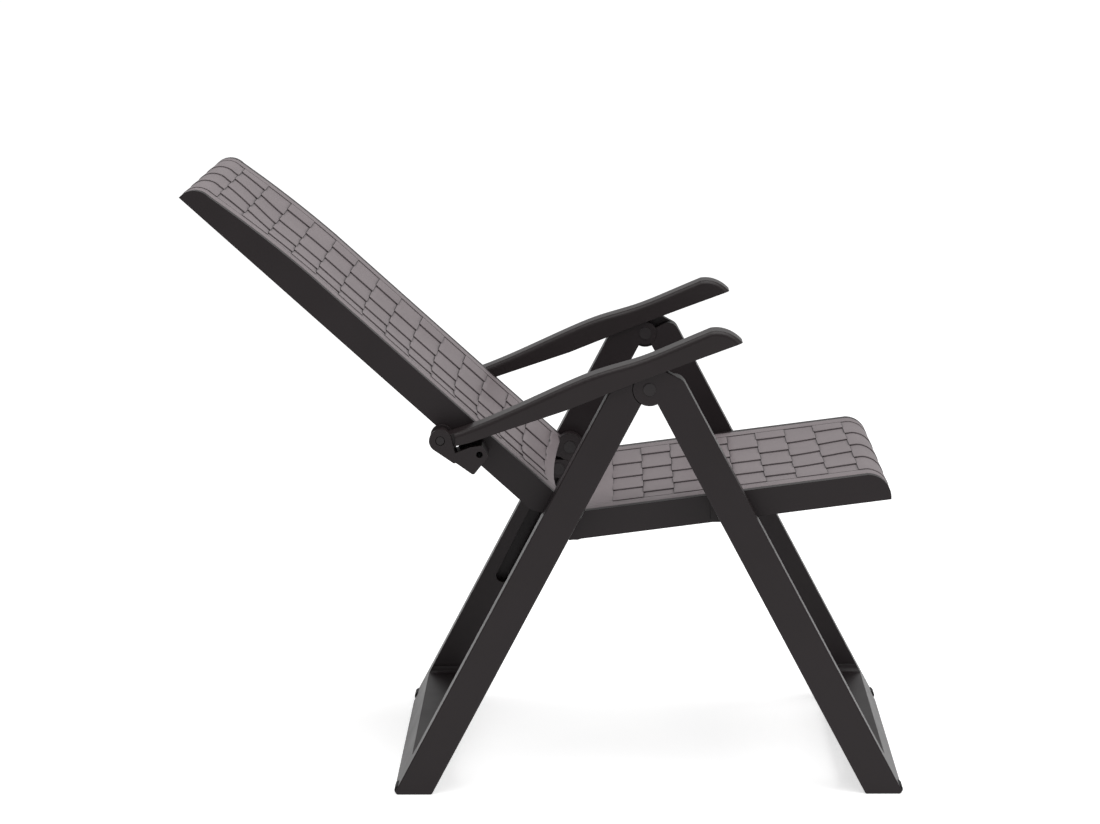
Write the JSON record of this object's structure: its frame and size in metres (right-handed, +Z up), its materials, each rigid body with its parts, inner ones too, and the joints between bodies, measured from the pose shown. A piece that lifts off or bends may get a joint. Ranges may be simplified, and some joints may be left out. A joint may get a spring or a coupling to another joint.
{
  "type": "reclining garden armchair",
  "caption": "Folding garden armchair in dark moulded resin, with a high woven back that reclines on notched armrests and a leg frame that folds flat.",
  "frame": {"origin": "on the floor, in the middle of the box round the open chair", "axes": "+X to the front of the chair, +Y to the sitter's left, +Z up"},
  "size_m": [1.0018, 0.613, 0.8458],
  "materials": {
    "frame_resin": "satin moulded resin",
    "woven_resin": "moulded weave, satin",
    "foot_pad": "matt",
    "bush": "waxy",
    "pin_resin": "dense moulded resin",
    "steel": "zinc plated"
  },
  "bodies": {
    "front_frame": {"front_leg_right": "frame_resin", "front_leg_left": "frame_resin", "front_foot_rail": "frame_resin", "front_foot_pads": "foot_pad", "hub_pins": "pin_resin", "rest_pegs": "steel", "seat_hinge_blocks": "frame_resin", "seat_hinge_pins": "steel"},
    "rear_frame": {"rear_leg_right": "frame_resin", "rear_leg_left": "frame_resin", "rear_foot_rail": "frame_resin", "rear_foot_pads": "foot_pad", "back_pivot_pins": "pin_resin"},
    "seat": {"seat_panel": "woven_resin", "seat_rail_right": "frame_resin", "seat_rail_left": "frame_resin", "seat_ribs": "woven_resin", "slot_pins": "pin_resin", "slot_bushes": "bush"},
    "backrest": {"back_panel": "woven_resin", "back_rail_right": "frame_resin", "back_rail_left": "frame_resin", "back_ribs": "woven_resin", "arm_bracket_right": "frame_resin", "arm_bracket_left": "frame_resin", "bracket_screws": "steel", "arm_bolt_right": "pin_resin", "arm_bolt_left": "pin_resin"},
    "armrest_right": {"armrest_right": "frame_resin", "notch_rack_right": "frame_resin"},
    "armrest_left": {"armrest_left": "frame_resin", "notch_rack_left": "frame_resin"}
  },
  "joints": [
    {"name": "fold", "type": "hinge", "parent": "front_frame", "child": "rear_frame", "pos_m": [0.14664, 0, 0.5733], "axis": [0, -1, 0], "range_deg": [0, 50]},
    {"name": "seat_hinge", "type": "hinge", "parent": "front_frame", "child": "seat", "pos_m": [0.24794, 0, 0.394], "axis": [0, -1, 0], "range_deg": [0, 95.2]},
    {"name": "recline", "type": "hinge", "parent": "rear_frame", "child": "backrest", "pos_m": [0.03094, 0, 0.403], "axis": [0, 1, 0], "range_deg": [0, 34]},
    {"name": "armrest_hinge_right", "type": "hinge", "parent": "backrest", "child": "armrest_right", "pos_m": [-0.14192, 0, 0.5036], "axis": [0, -1, 0], "range_deg": [0, 20.16]},
    {"name": "armrest_hinge_left", "type": "hinge", "parent": "backrest", "child": "armrest_left", "pos_m": [-0.14192, 0, 0.5036], "axis": [0, -1, 0], "range_deg": [0, 20.16]}
  ],
  "couplings": [
    {"joint": "seat_hinge", "follows": "fold", "ratio": 1.9},
    {"joint": "armrest_hinge_right", "follows": "recline", "ratio": 0.587},
    {"joint": "armrest_hinge_left", "follows": "recline", "ratio": 0.587}
  ]
}
